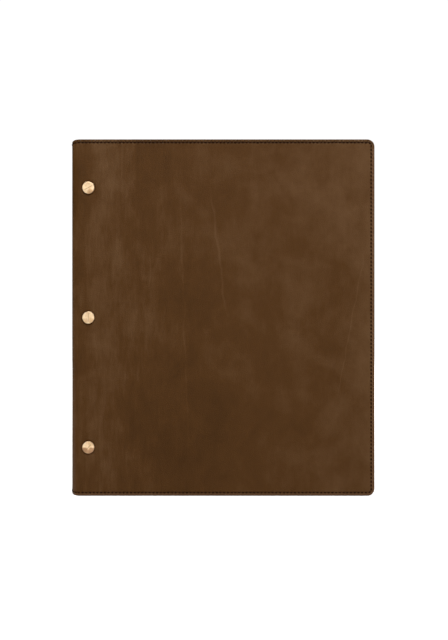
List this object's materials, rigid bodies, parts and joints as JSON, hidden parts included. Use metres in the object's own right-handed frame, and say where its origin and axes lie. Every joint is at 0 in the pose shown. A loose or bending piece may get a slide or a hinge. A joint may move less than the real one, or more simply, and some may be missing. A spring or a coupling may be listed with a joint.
{
  "type": "scrapbook album",
  "caption": "Post-bound scrapbook album: stitched brown leather wrap cover with a rounded spine, slotted brass screw heads down the margin, and hinged card leaves between the covers.",
  "frame": {"origin": "under the middle of the closed album, on the surface that its tail edge stands on", "axes": "+X from the spine to the fore-edge, +Y from the front cover to the back cover, +Z from the tail to the head"},
  "size_m": [0.2538, 0.0296, 0.297],
  "materials": {
    "leather": "semi-matte oiled full-grain, dark brown",
    "lining": "matte suede, mid brown",
    "thread": "waxed thread, near-black brown",
    "board": "matte grey board",
    "leaf_paper": "matte cream card",
    "brass": "turned faces, light brass"
  },
  "bodies": {
    "binding": {"spine_leather": "leather", "spine_inlay": "board", "spine_lining": "lining", "front_binding_board": "board", "back_binding_board": "board", "spine_thread_tail": "thread", "spine_thread_head": "thread", "post_top": "brass", "post_middle": "brass", "post_bottom": "brass", "stub_01": "leaf_paper", "stub_02": "leaf_paper", "stub_03": "leaf_paper", "stub_04": "leaf_paper", "stub_05": "leaf_paper", "stub_06": "leaf_paper", "stub_07": "leaf_paper", "stub_08": "leaf_paper", "stub_09": "leaf_paper", "stub_10": "leaf_paper", "stub_11": "leaf_paper", "stub_12": "leaf_paper", "stub_13": "leaf_paper", "stub_14": "leaf_paper", "stub_15": "leaf_paper", "stub_16": "leaf_paper", "stub_17": "leaf_paper", "stub_18": "leaf_paper"},
    "front_cover": {"front_cover_leather": "leather", "front_cover_board": "board", "front_cover_filler": "board", "front_cover_lining": "lining", "front_cover_thread": "thread"},
    "back_cover": {"back_cover_leather": "leather", "back_cover_board": "board", "back_cover_filler": "board", "back_cover_lining": "lining", "back_cover_thread": "thread"},
    "leaf_01": {"leaf_01": "leaf_paper"},
    "leaf_02": {"leaf_02": "leaf_paper"},
    "leaf_03": {"leaf_03": "leaf_paper"},
    "leaf_04": {"leaf_04": "leaf_paper"},
    "leaf_05": {"leaf_05": "leaf_paper"},
    "leaf_06": {"leaf_06": "leaf_paper"},
    "leaf_07": {"leaf_07": "leaf_paper"},
    "leaf_08": {"leaf_08": "leaf_paper"},
    "leaf_09": {"leaf_09": "leaf_paper"},
    "leaf_10": {"leaf_10": "leaf_paper"},
    "leaf_11": {"leaf_11": "leaf_paper"},
    "leaf_12": {"leaf_12": "leaf_paper"},
    "leaf_13": {"leaf_13": "leaf_paper"},
    "leaf_14": {"leaf_14": "leaf_paper"},
    "leaf_15": {"leaf_15": "leaf_paper"},
    "leaf_16": {"leaf_16": "leaf_paper"},
    "leaf_17": {"leaf_17": "leaf_paper"},
    "leaf_18": {"leaf_18": "leaf_paper"},
    "screw_top": {"screw_top": "brass"},
    "screw_middle": {"screw_middle": "brass"},
    "screw_bottom": {"screw_bottom": "brass"}
  },
  "joints": [
    {"name": "front_cover_hinge", "type": "hinge", "parent": "binding", "child": "front_cover", "pos_m": [-0.0983, -0.014, 0.1485], "axis": [0, 0, -1], "range_deg": [0, 170]},
    {"name": "back_cover_hinge", "type": "hinge", "parent": "binding", "child": "back_cover", "pos_m": [-0.0983, 0.014, 0.1485], "axis": [0, 0, 1], "range_deg": [0, 170]},
    {"name": "leaf_01_hinge", "type": "hinge", "parent": "binding", "child": "leaf_01", "pos_m": [-0.0983, -0.014, 0.1485], "axis": [0, 0, -1], "range_deg": [0, 167.63]},
    {"name": "leaf_02_hinge", "type": "hinge", "parent": "binding", "child": "leaf_02", "pos_m": [-0.0983, -0.014, 0.1485], "axis": [0, 0, -1], "range_deg": [0, 166.58]},
    {"name": "leaf_03_hinge", "type": "hinge", "parent": "binding", "child": "leaf_03", "pos_m": [-0.0983, -0.014, 0.1485], "axis": [0, 0, -1], "range_deg": [0, 165.52]},
    {"name": "leaf_04_hinge", "type": "hinge", "parent": "binding", "child": "leaf_04", "pos_m": [-0.0983, -0.014, 0.1485], "axis": [0, 0, -1], "range_deg": [0, 164.47]},
    {"name": "leaf_05_hinge", "type": "hinge", "parent": "binding", "child": "leaf_05", "pos_m": [-0.0983, -0.014, 0.1485], "axis": [0, 0, -1], "range_deg": [0, 163.41]},
    {"name": "leaf_06_hinge", "type": "hinge", "parent": "binding", "child": "leaf_06", "pos_m": [-0.0983, -0.014, 0.1485], "axis": [0, 0, -1], "range_deg": [0, 162.36]},
    {"name": "leaf_07_hinge", "type": "hinge", "parent": "binding", "child": "leaf_07", "pos_m": [-0.0983, -0.014, 0.1485], "axis": [0, 0, -1], "range_deg": [0, 161.31]},
    {"name": "leaf_08_hinge", "type": "hinge", "parent": "binding", "child": "leaf_08", "pos_m": [-0.0983, -0.014, 0.1485], "axis": [0, 0, -1], "range_deg": [0, 160.25]},
    {"name": "leaf_09_hinge", "type": "hinge", "parent": "binding", "child": "leaf_09", "pos_m": [-0.0983, -0.014, 0.1485], "axis": [0, 0, -1], "range_deg": [0, 159.2]},
    {"name": "leaf_10_hinge", "type": "hinge", "parent": "binding", "child": "leaf_10", "pos_m": [-0.0983, -0.014, 0.1485], "axis": [0, 0, -1], "range_deg": [0, 9.19]},
    {"name": "leaf_11_hinge", "type": "hinge", "parent": "binding", "child": "leaf_11", "pos_m": [-0.0983, -0.014, 0.1485], "axis": [0, 0, -1], "range_deg": [0, 8.2]},
    {"name": "leaf_12_hinge", "type": "hinge", "parent": "binding", "child": "leaf_12", "pos_m": [-0.0983, -0.014, 0.1485], "axis": [0, 0, -1], "range_deg": [0, 7.22]},
    {"name": "leaf_13_hinge", "type": "hinge", "parent": "binding", "child": "leaf_13", "pos_m": [-0.0983, -0.014, 0.1485], "axis": [0, 0, -1], "range_deg": [0, 6.23]},
    {"name": "leaf_14_hinge", "type": "hinge", "parent": "binding", "child": "leaf_14", "pos_m": [-0.0983, -0.014, 0.1485], "axis": [0, 0, -1], "range_deg": [0, 5.25]},
    {"name": "leaf_15_hinge", "type": "hinge", "parent": "binding", "child": "leaf_15", "pos_m": [-0.0983, -0.014, 0.1485], "axis": [0, 0, -1], "range_deg": [0, 4.26]},
    {"name": "leaf_16_hinge", "type": "hinge", "parent": "binding", "child": "leaf_16", "pos_m": [-0.0983, -0.014, 0.1485], "axis": [0, 0, -1], "range_deg": [0, 3.27]},
    {"name": "leaf_17_hinge", "type": "hinge", "parent": "binding", "child": "leaf_17", "pos_m": [-0.0983, -0.014, 0.1485], "axis": [0, 0, -1], "range_deg": [0, 2.29]},
    {"name": "leaf_18_hinge", "type": "hinge", "parent": "binding", "child": "leaf_18", "pos_m": [-0.0983, -0.014, 0.1485], "axis": [0, 0, -1], "range_deg": [0, 1.3]},
    {"name": "screw_top_turn", "type": "hinge", "parent": "binding", "child": "screw_top", "pos_m": [-0.1113, -0.014, 0.2565], "axis": [0, -1, 0], "continuous": true},
    {"name": "screw_middle_turn", "type": "hinge", "parent": "binding", "child": "screw_middle", "pos_m": [-0.1113, -0.014, 0.1485], "axis": [0, -1, 0], "continuous": true},
    {"name": "screw_bottom_turn", "type": "hinge", "parent": "binding", "child": "screw_bottom", "pos_m": [-0.1113, -0.014, 0.0405], "axis": [0, -1, 0], "continuous": true}
  ],
  "couplings": [
    {"joint": "leaf_01_hinge", "follows": "front_cover_hinge", "ratio": 0.986},
    {"joint": "leaf_02_hinge", "follows": "front_cover_hinge", "ratio": 0.9798},
    {"joint": "leaf_03_hinge", "follows": "front_cover_hinge", "ratio": 0.9736},
    {"joint": "leaf_04_hinge", "follows": "front_cover_hinge", "ratio": 0.9674},
    {"joint": "leaf_05_hinge", "follows": "front_cover_hinge", "ratio": 0.9612},
    {"joint": "leaf_06_hinge", "follows": "front_cover_hinge", "ratio": 0.955},
    {"joint": "leaf_07_hinge", "follows": "front_cover_hinge", "ratio": 0.9488},
    {"joint": "leaf_08_hinge", "follows": "front_cover_hinge", "ratio": 0.9426},
    {"joint": "leaf_09_hinge", "follows": "front_cover_hinge", "ratio": 0.9364},
    {"joint": "leaf_10_hinge", "follows": "front_cover_hinge", "ratio": 0.054},
    {"joint": "leaf_11_hinge", "follows": "front_cover_hinge", "ratio": 0.0482},
    {"joint": "leaf_12_hinge", "follows": "front_cover_hinge", "ratio": 0.0424},
    {"joint": "leaf_13_hinge", "follows": "front_cover_hinge", "ratio": 0.0366},
    {"joint": "leaf_14_hinge", "follows": "front_cover_hinge", "ratio": 0.0308},
    {"joint": "leaf_15_hinge", "follows": "front_cover_hinge", "ratio": 0.025},
    {"joint": "leaf_16_hinge", "follows": "front_cover_hinge", "ratio": 0.0192},
    {"joint": "leaf_17_hinge", "follows": "front_cover_hinge", "ratio": 0.0134},
    {"joint": "leaf_18_hinge", "follows": "front_cover_hinge", "ratio": 0.0076}
  ]
}
